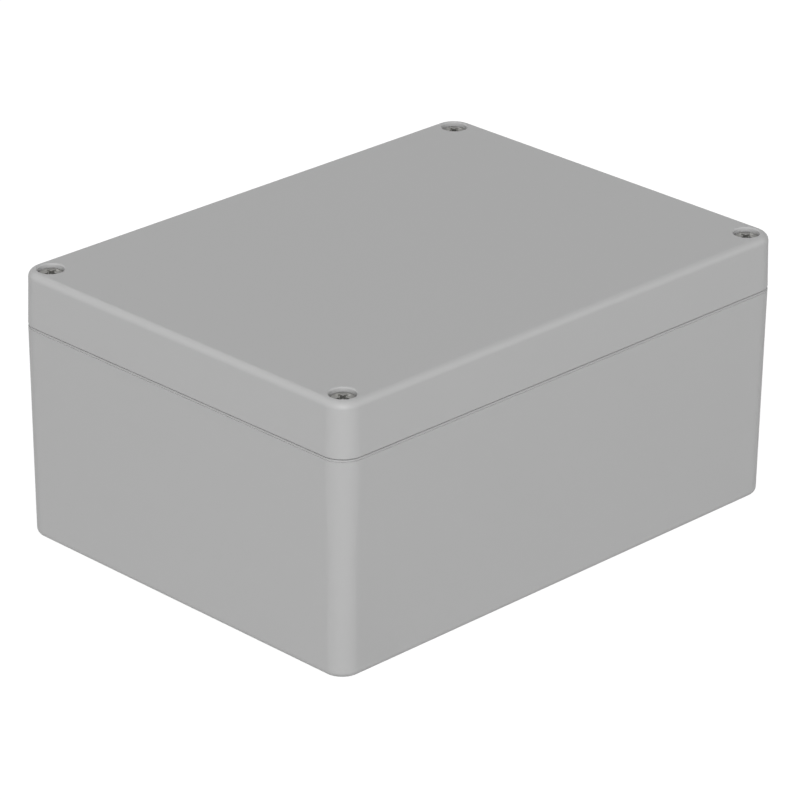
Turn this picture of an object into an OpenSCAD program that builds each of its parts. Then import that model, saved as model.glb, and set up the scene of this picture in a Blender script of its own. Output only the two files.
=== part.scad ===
// Sealed plastic enclosure: a moulded base and a screwed lid that meet at a tongue and groove,
// with a gasket between them. Captive screws in the lid's corners run into threaded inserts.
// Millimetres, +Z up, origin in the middle of the base's underside, X along the longer side.

/* [Body] */
// Length of the box at the seam, along X
body_l = 160; // [130:1:240]
// Width of the box at the seam, along Y
body_w = 120; // [90:1:200]
// Height of the base, up to the seam
base_h = 60; // [40:1:120]
// Height of the lid, above the seam
lid_h = 15; // [12:0.5:30]
// Radius of the four upright corners at the seam
corner_r = 6.5; // [5:0.1:9]
// Draft of the base's walls, in degrees
base_draft = 0.75; // [0:0.05:1.2]
// Draft of the lid's walls, in degrees
lid_draft = 1.5; // [0:0.05:3]
// Fillet along the lid's top edge
lid_fillet = 2; // [0.5:0.1:3]
// Fillet along the base's bottom edge
base_fillet = 1.7; // [0.5:0.1:3]
// Fillet along the lid's lower edge
seam_fillet = 0.4; // [0.1:0.05:0.6]
// Gap that shows between lid and base
seam_gap = 0.15; // [0.1:0.05:0.6]
// Height of the rebate round the base's rim, which shows as a shadow line under the lid
rebate_h = 0.5; // [0.2:0.1:1.5]
// Depth of that rebate
rebate_d = 0.3; // [0.1:0.05:0.6]

/* [Walls] */
// Thickness of the base's side walls, up to the tongue's inner face
wall = 3; // [2.8:0.1:4]
// Thickness of the base's floor
floor_t = 3; // [2:0.1:5]
// Fillet between the floor and the side walls, inside
floor_fillet = 1.5; // [0.5:0.1:3]
// Thickness of the lid's top
lid_top_t = 3; // [2:0.1:4]

/* [Seal] */
// Thickness of the tongue that stands on the base's rim
tongue_t = 1.2; // [0.8:0.1:1.3]
// Height of the tongue above the base's rim
tongue_h = 2.25; // [1.5:0.05:4]
// Width of the ledge on the side walls' inner edge, beside the tongue
ledge = 0.2; // [0.1:0.05:0.4]
// Room on each side of the tongue in the groove, and of the lip in the base
seal_gap = 0.3; // [0.2:0.05:0.5]
// Height of the gasket
gasket_h = 2.2; // [1:0.1:4]
// Room on each side of the gasket in the groove
gasket_gap = 0.1; // [0.05:0.05:0.2]
// Thickness of the lid's inner lip
lip_t = 1.4; // [1:0.1:2]
// Depth of the lip below the seam
lip_drop = 2.4; // [1:0.1:5]
// Radius of the lid's hollow in the corners beside a tower
hollow_r = 0.8; // [0.4:0.1:3]
// Radius of the groove's outer wall where it turns round a tower
groove_r = 1; // [0.5:0.1:3]

/* [Lid screws] */
// Distance of each screw's axis from the two sides beside it
screw_inset = 6.3; // [6:0.1:9]
// Diameter of the screw's head
head_d = 6.4; // [6:0.1:7.5]
// Height of the screw's head
head_h = 2.6; // [2:0.1:3.2]
// Rounding of the head's top edge
head_edge = 0.4; // [0.1:0.1:0.8]
// Depth of the head's top below the lid's top
head_sink = 1; // [0.5:0.1:2]
// Room round the head in its recess
head_gap = 0.3; // [0.1:0.05:0.6]
// Chamfer round the mouth of the recess
recess_chamfer = 0.3; // [0.2:0.1:0.8]
// Length across the head's cross recess
cross_l = 4.6; // [3:0.1:5]
// Width of the cross's slots
cross_w = 1.2; // [0.6:0.1:1.5]
// Depth of the cross recess
cross_depth = 1.7; // [1:0.1:1.9]
// Outside diameter of the thread
thread_d = 4; // [3.6:0.1:4.4]
// Length of thread that is held in the insert
thread_l = 7.5; // [5:0.5:9]
// Lead-in at both ends of the thread
lead_in = 0.5; // [0.2:0.1:0.8]
// Diameter of the waist between head and thread
waist_d = 3; // [2.6:0.1:3.3]
// Room round the waist in the web that keeps the screw in the lid
web_gap = 0.2; // [0.1:0.05:0.3]
// Thickness of that web, under the head
web_t = 2; // [1:0.1:3]
// Running clearance round the thread in its insert
thread_gap = 0.05; // [0.02:0.01:0.1]
// Room round the thread in the plain holes of lid and base
thread_room = 0.3; // [0.2:0.05:0.5]

/* [Threaded inserts] */
// Diameter of an insert
insert_d = 5.8; // [5.4:0.1:6.4]
// Length of an insert
insert_l = 8; // [6:0.5:10]
// Depth of an insert's top below the rim
insert_sink = 0.2; // [0.1:0.1:0.5]
// Width of the groove between an insert's knurled bands
insert_groove_w = 1.2; // [0.6:0.1:2]
// Depth of that groove
insert_groove_d = 0.35; // [0.1:0.05:0.5]
// Room below an insert for the screw's tip
tip_room = 4; // [3:0.5:8]

/* [Corner towers] */
// Length of a tower's open pocket along X, from the side wall
pocket_l = 23; // [20:0.5:30]
// Width of a tower's open pocket along Y, from the side wall
pocket_w = 10; // [9.5:0.5:14]
// Radius of a pocket's corners
pocket_r = 1.5; // [0.5:0.1:3]
// Thickness of the wall between a pocket and the inside
tower_wall = 2.7; // [2.4:0.1:4]
// Wall of the screw post, measured round the head's recess
post_wall = 1.6; // [1.2:0.1:2.5]
// Diameter of the wall-fixing hole in a pocket's floor
fixing_d = 4.5; // [4:0.1:5.5]
// Distance of the wall-fixing hole from the pocket's inner end, along X
fixing_inset = 6; // [4.5:0.5:8]

/* [Board bosses] */
// Diameter of a boss that carries a circuit board
boss_d = 7; // [6:0.5:10]
// Height of a boss above the floor
boss_h = 8; // [4:0.5:15]
// Diameter of the pilot hole in a boss
pilot_d = 2.6; // [2:0.1:3.5]
// Solid part of a boss below its pilot hole
pilot_floor = 1; // [0.5:0.5:2]
// Distance of a boss from the end wall, along X
boss_inset_x = 15; // [8:1:30]
// Distance of a boss from the tower, along Y
boss_inset_y = 8.3; // [6:0.1:20]

/* [Hidden] */
$fn = 64;
// Straight steps that stand for an arc, and how far a cut or a foot runs past the face that it meets
arc_steps = 10;
over = 1;

// Heights of the faces that meet
rim_z = base_h - seam_gap;
top_z = base_h + lid_h;
hollow_z = top_z - lid_top_t;
tongue_z = rim_z + tongue_h;
groove_z = tongue_z + gasket_h;
seat_z = top_z - head_sink - head_h;
insert_z = rim_z - insert_sink;

// Half sizes at the tongue's inner face, and how far a corner tower reaches in from there
inside = [body_l / 2 - wall, body_w / 2 - wall];
notch = [pocket_l + tower_wall, pocket_w + tower_wall];

// Seal faces, as distances outwards from the tongue's inner face
groove_out = tongue_t + seal_gap;
groove_in = -ledge - seal_gap;
lip_in = groove_in - lip_t;
inner_r = hollow_r - lip_in;
tower_r = groove_r + groove_out;

// Diameters that follow from a fit
recess_d = head_d + 2 * head_gap;
post_d = recess_d + 2 * post_wall;
clear_d = thread_d + 2 * thread_room;

// Places in the corner towards +X and +Y; the other three are its mirror images
screw_at = [body_l / 2 - screw_inset, body_w / 2 - screw_inset];
fixing_at = inside - [pocket_l - fixing_inset, pocket_w / 2];
boss_at = [inside.x - boss_inset_x, inside.y - notch.y - boss_inset_y];
front_left = [-1, -1];
front_right = [1, -1];
back_right = [1, 1];
back_left = [-1, 1];
corners = [front_left, front_right, back_right, back_left];

// Points along an arc about a centre
function arc(centre, r, from, to) = [
    for (i = [0:arc_steps])
        let (a = from + (to - from) * i / arc_steps)
            centre + r * [cos(a), sin(a)]
];

function reversed(list) = [for (i = [len(list) - 1:-1:0]) list[i]];

// Where a wall that leans by tilt and passes through the point ref stands at height z
function lean(ref, z, tilt) = ref.x + (z - ref.y) * tan(tilt);

// A fillet of radius r whose centre is at height z, tangent to that wall
function fillet(ref, z, r, tilt, from, to) = arc([lean(ref, z, tilt) - r / cos(tilt), z], r, from, to);

// Half section of the base's outside, from a corner's axis: a fillet, a leaning wall, and the rim's rebate
function base_section() = let (ref = [corner_r, base_h], step_z = rim_z - rebate_h) concat(
    [[0, 0]],
    fillet(ref, base_fillet, base_fillet, base_draft, -90, -base_draft),
    [for (p = [[0, step_z], [rebate_d, step_z], [rebate_d, rim_z]]) [lean(ref, p.y, base_draft) - p.x, p.y]],
    [[0, rim_z]]
);

// Half section of the lid's outside, from a corner's axis: a leaning wall with a fillet at each end
function lid_section() = let (ref = [corner_r, base_h]) concat(
    [[0, base_h]],
    fillet(ref, base_h + seam_fillet, seam_fillet, -lid_draft, -90, lid_draft),
    fillet(ref, top_z - lid_fillet, lid_fillet, -lid_draft, lid_draft, 90),
    [[0, top_z]]
);

// Section of the base's inside, half wide at the rim: floor, fillets and leaning walls
function inside_section(half) =
    let (
        ref = [half, rim_z],
        top = base_h + over,
        corner = fillet(ref, floor_t + floor_fillet, floor_fillet, base_draft, -90, -base_draft),
        side = concat(corner, [[lean(ref, top, base_draft), top]])
    )
    concat(side, [for (p = reversed(side)) [-p.x, p.y]]);

// Plan of the inside, moved outwards by grow: a rectangle with a tower's notch at each corner
function notched_quadrant(grow) = let (inner = inside - notch) concat(
    arc([inside.x - inner_r, inner.y - inner_r], inner_r + grow, 0, 90),
    arc(inner + [tower_r, tower_r], tower_r - grow, 270, 180),
    arc([inner.x - inner_r, inside.y - inner_r], inner_r + grow, 0, 90)
);
function notched_plan(grow) = let (q = notched_quadrant(grow), back = reversed(q)) concat(
    q,
    [for (p = back) [-p.x, p.y]],
    [for (p = q) -p],
    [for (p = back) [p.x, -p.y]]
);

module at_corner(side, place) translate([side.x * place.x, side.y * place.y, 0]) children();
module at_corners(place) for (side = corners) at_corner(side, place) children();

// A drafted block: the half section carried along the four sides and turned round the four corners
module drafted_block(z0, z1, section) {
    straight = [body_l - 2 * corner_r, body_w - 2 * corner_r];
    translate([-straight.x / 2, -straight.y / 2, z0]) cube([straight.x, straight.y, z1 - z0]);
    for (turn = [0:90:270]) {
        along = turn % 180 == 0 ? straight : [straight.y, straight.x];
        rotate(turn) translate([along.x / 2, along.y / 2, 0]) {
            rotate_extrude(angle = 90) polygon(section);
            rotate([90, 0, 0]) linear_extrude(along.y) polygon(section);
        }
    }
}

// The space between the base's four leaning walls, above its floor
module between_walls() {
    intersection() {
        rotate([90, 0, 0]) linear_extrude(body_w, center = true) polygon(inside_section(inside.x - ledge));
        rotate([90, 0, 90]) linear_extrude(body_l, center = true) polygon(inside_section(inside.y - ledge));
    }
}

// Plan of the open pocket beside a screw post, in the corner towards +X and +Y
module pocket_plan() {
    inner = inside - [pocket_l, pocket_w];
    difference() {
        polygon(concat(
            [inside],
            arc([inner.x + pocket_r, inside.y - pocket_r], pocket_r, 90, 180),
            arc(inner + [pocket_r, pocket_r], pocket_r, 180, 270),
            arc([inside.x - pocket_r, inner.y + pocket_r], pocket_r, 270, 360)
        ));
        translate(screw_at) circle(d = post_d);
        translate(screw_at) square(screw_inset);
    }
}

module pocket_plans() {
    for (side = corners)
        mirror([side.x < 0 ? 1 : 0, 0]) mirror([0, side.y < 0 ? 1 : 0]) pocket_plan();
}

// A ring between two plans of the inside
module seal_ring(outer, inner, height) {
    linear_extrude(height) difference() {
        polygon(notched_plan(outer));
        polygon(notched_plan(inner));
    }
}

// The moulded base: walls, floor, tongue, corner towers and board bosses in one piece
module base() {
    color("darkgray") difference() {
        union() {
            difference() {
                drafted_block(0, rim_z, base_section());
                intersection() {
                    between_walls();
                    linear_extrude(base_h + 2 * over) {
                        polygon(notched_plan(0));
                        pocket_plans();
                    }
                }
            }
            translate([0, 0, rim_z - over]) seal_ring(tongue_t, 0, tongue_h + over);
            at_corners(boss_at) translate([0, 0, floor_t]) cylinder(d = boss_d, h = boss_h);
        }
        at_corners(screw_at) translate([0, 0, insert_z - insert_l]) {
            cylinder(d = insert_d, h = insert_l + over);
            translate([0, 0, -tip_room]) cylinder(d = clear_d, h = tip_room + over);
        }
        at_corners(fixing_at) translate([0, 0, -over]) cylinder(d = fixing_d, h = floor_t + 2 * over);
        at_corners(boss_at) translate([0, 0, floor_t + pilot_floor]) cylinder(d = pilot_d, h = boss_h);
    }
}

// The moulded lid: top, skirt, gasket groove, inner lip and screw recesses in one piece
module lid() {
    lip_z = base_h - lip_drop;
    color("darkgray") difference() {
        union() {
            drafted_block(base_h, top_z, lid_section());
            translate([0, 0, lip_z]) linear_extrude(lip_drop) polygon(notched_plan(groove_in));
        }
        translate([0, 0, lip_z - over])
            linear_extrude(hollow_z - lip_z + over) polygon(notched_plan(lip_in));
        translate([0, 0, base_h - over]) {
            seal_ring(groove_out, groove_in, groove_z - base_h + over);
            linear_extrude(hollow_z - base_h + over) pocket_plans();
        }
        at_corners(screw_at) {
            translate([0, 0, base_h - over]) {
                cylinder(d = clear_d, h = seat_z - web_t - base_h + over);
                cylinder(d = waist_d + 2 * web_gap, h = seat_z - base_h + 2 * over);
            }
            translate([0, 0, seat_z]) cylinder(d = recess_d, h = top_z - seat_z + over);
            translate([0, 0, top_z - recess_chamfer])
                cylinder(d1 = recess_d, d2 = recess_d + 4 * recess_chamfer, h = 2 * recess_chamfer);
        }
    }
}

// The gasket, in the lid's groove and on the base's tongue
module gasket() {
    color("dimgray") translate([0, 0, tongue_z])
        seal_ring(groove_out - gasket_gap, groove_in + gasket_gap, gasket_h);
}

// A captive lid screw: cheese head with a cross recess, thin waist, and thread at the tip
module lid_screw(side) {
    head_z = seat_z + head_h;
    tip_z = insert_z - thread_l;
    thread_r = thread_d / 2;
    head_r = head_d / 2;
    color("silver") at_corner(side, screw_at) difference() {
        rotate_extrude() polygon(concat(
            [[0, tip_z], [thread_r - lead_in, tip_z], [thread_r, tip_z + lead_in]],
            [[thread_r, insert_z - lead_in], [waist_d / 2, insert_z - lead_in + thread_r - waist_d / 2]],
            [[waist_d / 2, seat_z], [head_r, seat_z]],
            arc([head_r - head_edge, head_z - head_edge], head_edge, 0, 90),
            [[0, head_z]]
        ));
        translate([0, 0, head_z - cross_depth]) linear_extrude(cross_depth + over) {
            square([cross_l, cross_w], center = true);
            square([cross_w, cross_l], center = true);
        }
    }
}

// A threaded insert with two knurled bands, pressed into a corner tower's post
module insert(side) {
    bore_r = thread_d / 2 + thread_gap;
    band_r = insert_d / 2;
    groove_r = band_r - insert_groove_d;
    groove_low = (insert_l - insert_groove_w) / 2;
    groove_high = (insert_l + insert_groove_w) / 2;
    color("goldenrod") at_corner(side, screw_at) translate([0, 0, insert_z - insert_l])
        rotate_extrude() polygon([
            [bore_r, 0],
            [band_r, 0],
            [band_r, groove_low],
            [groove_r, groove_low],
            [groove_r, groove_high],
            [band_r, groove_high],
            [band_r, insert_l],
            [bore_r, insert_l]
        ]);
}

base();
lid();
gasket();
lid_screw(front_left);  // lid_screw_front_left
lid_screw(front_right);  // lid_screw_front_right
lid_screw(back_right);  // lid_screw_back_right
lid_screw(back_left);  // lid_screw_back_left
insert(front_left);  // insert_front_left
insert(front_right);  // insert_front_right
insert(back_right);  // insert_back_right
insert(back_left);  // insert_back_left
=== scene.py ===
"""Looks of a sealed plastic enclosure: moulded shells, captive screws, brass inserts and a gasket.

Everything is in metres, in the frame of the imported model. Small lengths are millimetres times MM.
"""

import math

import bmesh
import bpy
import numpy as np
from mathutils import Matrix, Vector


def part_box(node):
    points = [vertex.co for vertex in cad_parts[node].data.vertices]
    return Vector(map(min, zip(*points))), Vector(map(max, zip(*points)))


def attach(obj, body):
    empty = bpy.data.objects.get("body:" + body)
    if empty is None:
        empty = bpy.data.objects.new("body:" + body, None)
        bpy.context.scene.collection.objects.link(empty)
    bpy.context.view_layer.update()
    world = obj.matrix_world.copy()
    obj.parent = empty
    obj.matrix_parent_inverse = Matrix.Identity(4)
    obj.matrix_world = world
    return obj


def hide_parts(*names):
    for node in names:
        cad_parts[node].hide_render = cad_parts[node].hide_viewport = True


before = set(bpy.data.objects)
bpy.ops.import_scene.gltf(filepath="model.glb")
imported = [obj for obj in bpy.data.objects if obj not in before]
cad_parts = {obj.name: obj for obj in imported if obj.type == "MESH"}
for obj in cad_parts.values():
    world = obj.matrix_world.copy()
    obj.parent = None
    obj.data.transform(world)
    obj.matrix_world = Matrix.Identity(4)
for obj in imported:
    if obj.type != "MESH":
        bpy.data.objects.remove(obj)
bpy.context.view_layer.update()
scene = bpy.context.scene
MM = 0.001
CORNERS = ("front_left", "front_right", "back_right", "back_left")

# Camera, at the photograph's viewing angle, with its lens and sensor in millimetres
CAMERA_AZIMUTH = -45.02
CAMERA_ELEVATION = 24.424
CAMERA_ROLL = 0.468
CAMERA_DISTANCE = 1167.07 * MM
CAMERA_LENS = 199.566
SENSOR = 36
AIM_RIGHT = -0.327 * MM
AIM_HEIGHT = 32.374 * MM

# Light: a dim white dome, a wide softbox behind the camera, one at each side and one high at the back
WHITE = (1, 1, 1, 1)
DOME_LIGHT = 0.12
LAMP_DISTANCE = 4
LAMPS = {
    "front_softbox": {"azimuth": -46, "elevation": 25.5, "size": 3.2, "power": 187},
    "left_softbox": {"azimuth": -138, "elevation": 28, "size": 2.4, "power": 34},
    "left_high_softbox": {"azimuth": 178, "elevation": 50, "size": 2, "power": 25},
    "right_softbox": {"azimuth": 46, "elevation": 27, "size": 2.4, "power": 38},
}

# Floor: its grey in the light, and the strength and the share of the white that it is seen as
FLOOR_SIZE = 6
FLOOR_COLOR = (0.4, 0.4, 0.4, 1)
FLOOR_WHITE = 1.5
FLOOR_GLOW = 0.62

# Meshes: how near points merge, past what angle an edge is sharp, and the points and angles of a ring
MERGE = 0.001 * MM
SHARP = math.radians(32)
RING = 144
TURN = np.arange(RING) * 2 * np.pi / RING

# Noise runs from 0 to 1, and its scales are in features per metre
NOISE_DETAIL = 3.0
NOISE_MIDDLE = 0.5

# Moulded plastic, with what its clouds and its grain add to the tone and the roughness
PLASTIC_COLOR = (0.375, 0.375, 0.375)
PLASTIC_ROUGHNESS = 0.5
PLASTIC_GLOSS = 0.5
PLASTIC_CLOUDS = 35
PLASTIC_GRAIN = 2600
GRAIN_HEIGHT = 0.004 * MM
PLASTIC_TONE = 0.985
CLOUD_TONE = 0.02
GRAIN_TONE = 0.01
CLOUD_ROUGHNESS = 0.06
GRAIN_ROUGHNESS = 0.04

# Turned metal, with its tool marks counted round a turn and along a millimetre of the profile
STEEL_COLOR = (0.264, 0.262, 0.252)
STEEL_ROUGHNESS = 0.5
BRASS_COLOR = (0.62, 0.43, 0.17)
BRASS_ROUGHNESS = 0.3
TOOL_MARKS = (6, 14, 1)
TOOL_MARK_HEIGHT = 0.006 * MM
METAL_CLOUDS = 900
METAL_TONE = 0.66
TOOL_MARK_TONE = 0.2
METAL_CLOUD_TONE = 0.16
TOOL_MARK_ROUGHNESS = 0.12

# Rubber
RUBBER_COLOR = (0.022, 0.022, 0.023)
RUBBER_ROUGHNESS = 0.72
RUBBER_BLOOM = 260
RUBBER_PORES = 3200
PORE_DEPTH = 0.01 * MM
RUBBER_TONE = 0.7
BLOOM_TONE = 0.6
BLOOM_ROUGHNESS = 0.2

# Threads, with the crest's and the flank's shares of the half pitch from mid-crest to mid-root
PITCH = 0.7 * MM
THREAD_CREST = 0.125
THREAD_FLANK = 0.65
THREAD_STEPS = 12

# Lid screws, with the waist and the thread given by their diameters
HEAD_EDGE = 0.4 * MM
HEAD_EDGE_STEPS = 6
HEAD_HEIGHT = 2.6 * MM
WAIST = 3 * MM
THREAD = 4 * MM
THREAD_LENGTH = 7.5 * MM
THREAD_DEPTH = 0.43 * MM
LEAD_IN = 0.5 * MM

# Cross recess, with its shares of the depth, the length and the width from the mouth to the bottom
CROSS_LENGTH = 4.6 * MM
CROSS_WIDTH = 1.2 * MM
CROSS_DEPTH = 1.7 * MM
CROSS_SHARES = (
    (0, 1.03, 1.12),
    (0.04, 0.985, 1),
    (0.3, 0.8, 0.9),
    (0.6, 0.62, 0.8),
    (0.95, 0.42, 0.7),
    (1, 0.3, 0.5),
)
LEAST_SINE = 1e-6

# Threaded inserts
INSERT_BORE = 4.1 * MM
INSERT_THREAD_DEPTH = 0.3 * MM
INSERT_CHAMFER = 0.3 * MM
BAND_GROOVE_WIDTH = 1.2 * MM
BAND_GROOVE_DEPTH = 0.35 * MM
BAND_EDGE = 0.2 * MM
BAND_STEPS = 60
KNURLS = 30
KNURL_DEPTH = 0.18 * MM
KNURL_PITCH = 0.9 * MM

# Gasket: how far its path steps in round a corner's tower, the path's radii, and its section
NOTCH = (25.7 * MM, 12.7 * MM)
INNER_RADIUS = 2.7 * MM
TOWER_RADIUS = 2.5 * MM
PATH_STEPS = 12
GASKET_OUT = 1.4 * MM
GASKET_IN = -0.4 * MM
GASKET_ROUND = 0.45 * MM
ROUND_STEPS = 5
FOOT_STEPS = 4
TONGUE_WIDTH = 1.2 * MM
TONGUE_PRINT = 0.12 * MM
PRINT_SLOPE = 0.1 * MM


# Shader expressions
class Signal:
    """A shader socket that takes part in Python expressions: each operator adds one Math node."""

    def __init__(self, look, socket):
        self.look = look
        self.socket = socket

    def math(self, operation, first, second):
        """The result of one Math node on two signals or numbers."""
        return self.look.node("ShaderNodeMath", {"operation": operation}, {0: first, 1: second})

    def __add__(self, other):
        return self.math("ADD", self, other)

    def __sub__(self, other):
        return self.math("SUBTRACT", self, other)

    def __rsub__(self, other):
        return self.math("SUBTRACT", other, self)

    def __mul__(self, other):
        return self.math("MULTIPLY", self, other)

    __radd__ = __add__
    __rmul__ = __mul__

    def largest(self, other):
        """The larger of this signal and another."""
        return self.math("MAXIMUM", self, other)


class Look:
    """A node tree under construction: one method adds every node."""

    def __init__(self, owner):
        owner.use_nodes = True
        self.owner = owner
        self.tree = owner.node_tree
        self.tree.nodes.clear()

    def node(self, kind, settings=None, inputs=None, output=0):
        """A new node: its settings first, then its sockets' values or links. Gives one output's signal."""
        node = self.tree.nodes.new(kind)
        for name, value in (settings or {}).items():
            setattr(node, name, value)
        for name, value in (inputs or {}).items():
            if isinstance(value, Signal):
                self.tree.links.new(value.socket, node.inputs[name])
            else:
                node.inputs[name].default_value = value
        return Signal(self, node.outputs[output]) if node.outputs else node

    def place(self):
        """The place on the object, in its own coordinates."""
        return self.node("ShaderNodeTexCoord", output="Object")

    def noise(self, place, scale):
        """Fractal noise from 0 to 1."""
        inputs = {"Vector": place, "Scale": scale, "Detail": NOISE_DETAIL}
        return self.node("ShaderNodeTexNoise", None, inputs)

    def tint(self, color, amount):
        """The colour times an amount that varies over the surface."""
        scaled = {"Vector": color, "Scale": amount}
        return self.node("ShaderNodeVectorMath", {"operation": "SCALE"}, scaled)

    def bump(self, height, distance):
        """A normal from a height of 0 to 1 that stands for the distance."""
        return self.node("ShaderNodeBump", None, {"Height": height, "Distance": distance})

    def finish(self, shader):
        """The material or the world, with the shader led to its output."""
        kind = "World" if isinstance(self.owner, bpy.types.World) else "Material"
        self.node("ShaderNodeOutput" + kind, None, {"Surface": shader})
        return self.owner


# Materials
def moulded_plastic(name):
    """Grey plastic from a spark-eroded mould: a fine even grain, and faint clouds in tone and gloss."""
    look = Look(bpy.data.materials.new(name))
    clouds = look.noise(look.place(), PLASTIC_CLOUDS)
    grain = look.noise(look.place(), PLASTIC_GRAIN)
    cloudy = CLOUD_ROUGHNESS * (clouds - NOISE_MIDDLE)
    grainy = GRAIN_ROUGHNESS * (grain - NOISE_MIDDLE)
    shader = look.node("ShaderNodeBsdfPrincipled", None, {
        "Base Color": look.tint(PLASTIC_COLOR, PLASTIC_TONE + CLOUD_TONE * clouds + GRAIN_TONE * grain),
        "Roughness": PLASTIC_ROUGHNESS + cloudy + grainy,
        "Normal": look.bump(grain, GRAIN_HEIGHT),
        "Specular IOR Level": PLASTIC_GLOSS,
    })
    return look.finish(shader)


def turned_metal(name, color, roughness):
    """Metal with the marks of a lathe tool: noise that changes along the profile and hardly round it."""
    look = Look(bpy.data.materials.new(name))
    profile = look.node("ShaderNodeUVMap")
    stretched = look.node("ShaderNodeMapping", None, {"Vector": profile, "Scale": TOOL_MARKS})
    marks = look.noise(stretched, 1)
    clouds = look.noise(look.place(), METAL_CLOUDS)
    tone = METAL_TONE + TOOL_MARK_TONE * marks + METAL_CLOUD_TONE * clouds
    shader = look.node("ShaderNodeBsdfPrincipled", None, {
        "Base Color": look.tint(color, tone),
        "Roughness": roughness + TOOL_MARK_ROUGHNESS * (marks - NOISE_MIDDLE),
        "Normal": look.bump(marks, TOOL_MARK_HEIGHT),
        "Metallic": 1.0,
    })
    return look.finish(shader)


def soft_rubber(name):
    """Black rubber with a dull bloom and fine pores."""
    look = Look(bpy.data.materials.new(name))
    bloom = look.noise(look.place(), RUBBER_BLOOM)
    pores = look.noise(look.place(), RUBBER_PORES)
    shader = look.node("ShaderNodeBsdfPrincipled", None, {
        "Base Color": look.tint(RUBBER_COLOR, RUBBER_TONE + BLOOM_TONE * bloom),
        "Roughness": RUBBER_ROUGHNESS + BLOOM_ROUGHNESS * (bloom - NOISE_MIDDLE),
        "Normal": look.bump(pores, PORE_DEPTH),
    })
    return look.finish(shader)


def seen_directly(look):
    """1 for rays from the camera, from gloss and through glass, 0 for light that falls on the object."""
    seen = look.node("ShaderNodeLightPath", output="Is Camera Ray")
    for kind in ("Is Glossy Ray", "Is Transmission Ray"):
        seen = seen.largest(look.node("ShaderNodeLightPath", output=kind))
    return seen


def studio_floor(name):
    """A matt floor that is seen mostly as its own white, so that the shadow stays faint."""
    look = Look(bpy.data.materials.new(name))
    matt = look.node("ShaderNodeBsdfDiffuse", None, {"Color": FLOOR_COLOR})
    glow = look.node("ShaderNodeEmission", None, {"Color": WHITE, "Strength": FLOOR_WHITE})
    share = FLOOR_GLOW * seen_directly(look)
    return look.finish(look.node("ShaderNodeMixShader", None, {0: share, 1: matt, 2: glow}))


def studio_dome(name):
    """A white world: strength 1 where it is seen, and dimmer for the light that it gives."""
    look = Look(bpy.data.worlds.new(name))
    strength = DOME_LIGHT + (1 - DOME_LIGHT) * seen_directly(look)
    shader = look.node("ShaderNodeBackground", None, {"Color": WHITE, "Strength": strength})
    return look.finish(shader)


# Surfaces on a grid
def add_piece(name, mesh, material, body, node):
    """A finished piece that rides on a body, stands for its CAD node and carries its material slot."""
    mesh.materials.clear()
    mesh.materials.append(material)
    piece = bpy.data.objects.new(name, mesh)
    scene.collection.objects.link(piece)
    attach(piece, body)
    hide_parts(node)
    return piece


def cells(grid):
    """The four corners of each cell of a grid, in order round the cell."""
    return np.stack([grid[:-1, :-1], grid[:-1, 1:], grid[1:, 1:], grid[1:, :-1]], 2)


def grid_mesh(name, points, capped):
    """A closed mesh on a grid of points, rows by columns, whose last column joins its first.

    A capped grid closes its first and last rows with a flat face each. Otherwise the last row joins
    the first. The UV map holds the turn, 0 to 1, and the distance along the rows in millimetres.
    """
    rows, columns = points.shape[:2]
    joined = ((0, 0 if capped else 1), (0, 1))
    index = np.pad(np.arange(rows * columns).reshape(rows, columns), joined, mode="wrap")
    places = points.reshape(-1, 3)
    steps = np.linalg.norm(np.diff(places[index[:, 0]], axis=0), axis=1)
    along = np.concatenate([[0], np.cumsum(steps)]) / MM
    uv = np.stack(np.meshgrid(np.arange(columns + 1) / columns, along), -1)
    faces = cells(index).reshape(-1, 4).tolist()
    face_uv = [cells(uv).reshape(-1, 2)]
    if capped:
        faces += [index[0, -2::-1].tolist(), index[-1, :-1].tolist()]
        face_uv += [uv[0, -2::-1], uv[-1, :-1]]
    mesh = bpy.data.meshes.new(name)
    mesh.from_pydata(places, [], faces)
    mesh.uv_layers.new(name="UVMap").data.foreach_set("uv", np.concatenate(face_uv).ravel())
    mesh.shade_smooth()
    mesh.set_sharp_from_angle(angle=SHARP)
    return mesh


def rings(radius, height):
    """Rows of rings, from a radius and a height for each row or for each row and angle."""
    return np.stack(np.broadcast_arrays(radius, height, TURN)[:2], -1)


def turned(profile):
    """Rows of plain rings, from the points of a profile."""
    profile = np.array(profile)
    return rings(profile[:, :1], profile[:, 1:])


def revolve(axis, rows):
    """Points about an upright axis: out by each ring's radius at each angle of a turn, at its height."""
    radius, height = np.moveaxis(rows, -1, 0)
    return np.stack([axis.x + radius * np.cos(TURN), axis.y + radius * np.sin(TURN), height], -1)


def arc(centre, radius, start, end, steps):
    """Points along an arc, with its angles in degrees."""
    angle = np.radians(np.linspace(start, end, steps + 1))
    return np.stack([centre[0] + radius * np.cos(angle), centre[1] + radius * np.sin(angle)], -1)


def smooth_step(share):
    """A smooth rise from 0 to 1: the share's square times 3 less twice the share."""
    share = np.clip(share, 0, 1)
    return share * share * (3 - 2 * share)


# Moulded shells
def moulded_shell(node, material):
    """The shell's own solid, merged and shaded smoothly over its fillets, with its sharp edges kept."""
    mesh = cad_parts[node].data.copy()
    work = bmesh.new()
    work.from_mesh(mesh)
    bmesh.ops.remove_doubles(work, verts=work.verts, dist=MERGE)
    work.to_mesh(mesh)
    work.free()
    # Normals that come with the solid would hide the smooth shading
    if "custom_normal" in mesh.attributes:
        mesh.attributes.remove(mesh.attributes["custom_normal"])
    mesh.shade_smooth()
    mesh.set_sharp_from_angle(angle=SHARP)
    piece = add_piece(node + "_shell", mesh, material, node, node)
    flats_first = piece.modifiers.new("flats_first", "WEIGHTED_NORMAL")
    flats_first.keep_sharp = True


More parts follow.
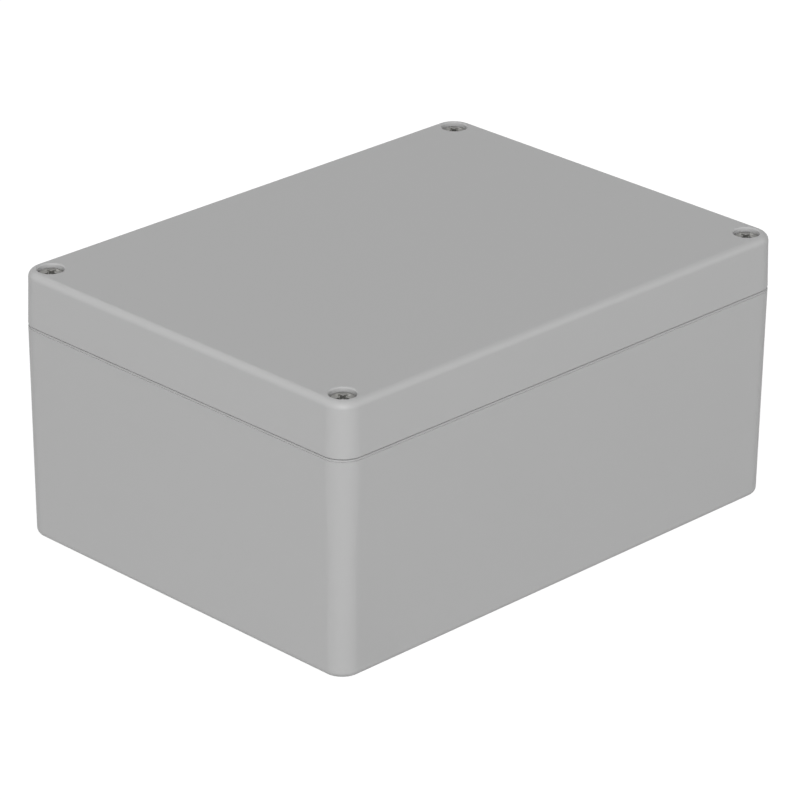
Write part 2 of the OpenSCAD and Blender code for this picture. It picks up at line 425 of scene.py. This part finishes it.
# Lid screws
def thread_wave(height):
    """A thread's depth, 0 on the crest to 1 at the root: straight flanks between two flats.

    It follows the phase of a helix, which is the height over the pitch less the share of a turn.
    """
    phase = np.abs((height / PITCH - TURN / (2 * np.pi)) % 1 * 2 - 1)
    return np.clip((phase - THREAD_CREST) / THREAD_FLANK, 0, 1)


def thread_rings(tip):
    """The thread from the tip to the waist: the smaller of its wave and the cone at each end."""
    top = tip + THREAD_LENGTH - LEAD_IN
    waist = top + (THREAD - WAIST) / 2
    height = np.linspace(tip, waist, int(THREAD_LENGTH / PITCH * THREAD_STEPS))[:, None]
    crest = THREAD / 2 - np.maximum(0, np.maximum(LEAD_IN - (height - tip), height - top))
    return rings(np.minimum(crest, THREAD / 2 - THREAD_DEPTH * thread_wave(height)), height)


def head_rings(radius, top):
    """The waist's end, the head's seat and its top edge, which is a quarter circle."""
    seat = top - HEAD_HEIGHT
    edge = arc((radius - HEAD_EDGE, top - HEAD_EDGE), HEAD_EDGE, 0, 90, HEAD_EDGE_STEPS)
    return turned([(WAIST / 2, seat), (radius, seat), *edge])


def cross_rings(top):
    """The cross recess from its mouth down: rings that follow a cross and shrink with depth.

    A ring's radius is the nearer of a slot's end and a slot's side, for the slot nearest the angle.
    Along a slot's middle the least sine puts its side far off.
    """
    depth, length, width = np.array(CROSS_SHARES).T[:, :, None]
    off = np.abs((TURN + np.pi / 4) % (np.pi / 2) - np.pi / 4)
    end = CROSS_LENGTH / 2 * length / np.cos(off)
    side = CROSS_WIDTH / 2 * width / np.maximum(np.sin(off), LEAST_SINE)
    return rings(np.minimum(end, side), top - CROSS_DEPTH * depth)


def lid_screw(corner, material):
    """A captive screw as one grid of rings, from its tip up to its head and down into its recess."""
    node, body = "lid_screw_" + corner, "screw_" + corner
    low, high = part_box(node)
    head_radius = (high.x - low.x) / 2
    rows = np.concatenate([thread_rings(low.z), head_rings(head_radius, high.z), cross_rings(high.z)])
    mesh = grid_mesh(body, revolve((low + high) / 2, rows), capped=True)
    add_piece(body, mesh, material, body, node)


# Threaded inserts
def band_rings(radius, bottom, top):
    """An insert's outside from the bottom up: two diamond-knurled bands with a plain groove between.

    The knurl is the product of two waves that lean opposite ways round the band.
    """
    height = np.linspace(bottom, top, BAND_STEPS)[:, None]
    from_middle = np.abs(height - (bottom + top) / 2)
    groove = 1 - smooth_step((from_middle - BAND_GROOVE_WIDTH / 2) / BAND_EDGE)
    lean = height / KNURL_PITCH * 2 * np.pi
    diamonds = np.abs(np.sin((KNURLS * TURN + lean) / 2) * np.sin((KNURLS * TURN - lean) / 2))
    cut = BAND_GROOVE_DEPTH * groove + KNURL_DEPTH * (1 - groove) * (1 - diamonds)
    return rings(radius - cut, height)


def bore_rings(radius, bottom, top):
    """An insert's bore from the top down, with its thread cut outwards and faded at both ends."""
    height = np.linspace(top, bottom, int((top - bottom) / PITCH * THREAD_STEPS))[:, None]
    fade = smooth_step((top - height) / PITCH) * smooth_step((height - bottom) / PITCH)
    return rings(radius + INSERT_THREAD_DEPTH * fade * (1 - thread_wave(height)), height)


def insert(corner, material):
    """A brass insert as a closed ring of rings: up the outside, over the top and down the bore."""
    node = "insert_" + corner
    low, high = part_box(node)
    bore_radius, band_radius = INSERT_BORE / 2, (high.x - low.x) / 2
    inner, outer = bore_radius + INSERT_CHAMFER, band_radius - INSERT_CHAMFER / 2
    rows = np.concatenate([
        turned([(inner, low.z), (outer, low.z)]),
        band_rings(band_radius, low.z + INSERT_CHAMFER / 2, high.z - INSERT_CHAMFER / 2),
        turned([(outer, high.z), (inner, high.z)]),
        bore_rings(bore_radius, low.z + INSERT_CHAMFER, high.z - INSERT_CHAMFER),
    ])
    mesh = grid_mesh("threaded_" + node, revolve((low + high) / 2, rows), capped=False)
    add_piece("threaded_" + node, mesh, material, "base", node)


# Gasket
def mirrored(quarter):
    """A quarter's rows and their three mirror images, in order round the box."""
    back = quarter[::-1]
    return np.concatenate([quarter, back * (-1, 1), -quarter, back * (1, -1)])


def seal_path(half):
    """Places and outward directions along the seal: straight sides that step in round each tower.

    Each corner is three arcs, an outer one, one about the tower and another outer one.
    """
    inner = (half[0] - NOTCH[0], half[1] - NOTCH[1])
    turns = (
        ((half[0] - INNER_RADIUS, inner[1] - INNER_RADIUS), INNER_RADIUS, 0, 90, 1),
        ((inner[0] + TOWER_RADIUS, inner[1] + TOWER_RADIUS), TOWER_RADIUS, 270, 180, -1),
        ((inner[0] - INNER_RADIUS, half[1] - INNER_RADIUS), INNER_RADIUS, 0, 90, 1),
    )
    places, ways = [], []
    for centre, radius, start, end, side in turns:
        points = arc(centre, radius, start, end, PATH_STEPS)
        places.append(points)
        ways.append(side * (points - centre) / radius)
    return mirrored(np.concatenate(places)), mirrored(np.concatenate(ways))


def gasket_section(bottom, top):
    """The gasket's section, as distance outwards and height: rounded, with the tongue's print below."""
    shoulder, foot = GASKET_ROUND, GASKET_ROUND / 2
    roof = bottom + TONGUE_PRINT
    return np.concatenate([
        arc((GASKET_OUT - shoulder, top - shoulder), shoulder, 90, 0, ROUND_STEPS),
        arc((GASKET_OUT - foot, bottom + foot), foot, 0, -90, FOOT_STEPS),
        [(TONGUE_WIDTH, bottom), (TONGUE_WIDTH - PRINT_SLOPE, roof)],
        [(PRINT_SLOPE, roof), (0, bottom)],
        arc((GASKET_IN + foot, bottom + foot), foot, -90, -180, FOOT_STEPS),
        arc((GASKET_IN + shoulder, top - shoulder), shoulder, 180, 90, ROUND_STEPS),
    ])


def gasket(material):
    """A rubber ring: the section carried along the seal, its distance outwards and its height upwards."""
    low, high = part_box("gasket")
    place, way = seal_path((high.x - GASKET_OUT, high.y - GASKET_OUT))
    section = gasket_section(low.z, high.z)
    flat = place[:, None] + way[:, None] * section[:, :1]
    height = np.broadcast_to(section[:, 1:], (*flat.shape[:2], 1))
    mesh = grid_mesh("gasket_ring", np.concatenate([flat, height], -1), capped=False)
    add_piece("gasket_ring", mesh, material, "lid", "gasket")


# Stage
def toward(azimuth, elevation):
    """The direction from the object to a viewer at these angles, in degrees."""
    azimuth, elevation = math.radians(azimuth), math.radians(elevation)
    level = math.cos(elevation)
    return Vector((math.sin(azimuth) * level, -math.cos(azimuth) * level, math.sin(elevation)))


def add_camera():
    """The camera, from its two angles, its slight roll and its distance to the point that it aims at."""
    azimuth = math.radians(CAMERA_AZIMUTH)
    right = Vector((math.cos(azimuth), math.sin(azimuth), 0))
    back = toward(CAMERA_AZIMUTH, CAMERA_ELEVATION)
    data = bpy.data.cameras.new("camera")
    data.sensor_width = SENSOR
    data.lens = CAMERA_LENS
    camera = bpy.data.objects.new("camera", data)
    scene.collection.objects.link(camera)
    turn = Matrix((right, back.cross(right), back)).transposed()
    roll = Matrix.Rotation(math.radians(CAMERA_ROLL), 3, "Z")
    place = right * AIM_RIGHT + Vector((0, 0, AIM_HEIGHT)) + back * CAMERA_DISTANCE
    camera.matrix_world = Matrix.Translation(place) @ (turn @ roll).to_4x4()
    scene.camera = camera


def add_lamp(name, azimuth, elevation, size, power):
    """A square soft lamp that faces the object."""
    data = bpy.data.lights.new(name, "AREA")
    data.size = size
    data.energy = power
    lamp = bpy.data.objects.new(name, data)
    scene.collection.objects.link(lamp)
    way = toward(azimuth, elevation)
    lamp.location = Vector((0, 0, AIM_HEIGHT)) + way * LAMP_DISTANCE
    lamp.rotation_euler = way.to_track_quat("Z", "Y").to_euler()


def add_floor():
    """A square floor at the height of the base's underside."""
    corners = np.array([(-1, -1, 0), (1, -1, 0), (1, 1, 0), (-1, 1, 0)]) * FLOOR_SIZE / 2
    mesh = bpy.data.meshes.new("floor")
    mesh.from_pydata(corners, [], [(0, 1, 2, 3)])
    mesh.materials.append(studio_floor("floor"))
    floor = bpy.data.objects.new("floor", mesh)
    scene.collection.objects.link(floor)


add_camera()
for lamp, settings in LAMPS.items():
    add_lamp(lamp, **settings)
add_floor()
scene.world = studio_dome("dome")
scene.view_settings.view_transform = "Standard"

for shell in ("base", "lid"):
    moulded_shell(shell, moulded_plastic(shell + "_plastic"))
steel = turned_metal("screw_steel", STEEL_COLOR, STEEL_ROUGHNESS)
brass = turned_metal("insert_brass", BRASS_COLOR, BRASS_ROUGHNESS)
for corner in CORNERS:
    lid_screw(corner, steel)
    insert(corner, brass)
gasket(soft_rubber("gasket_rubber"))
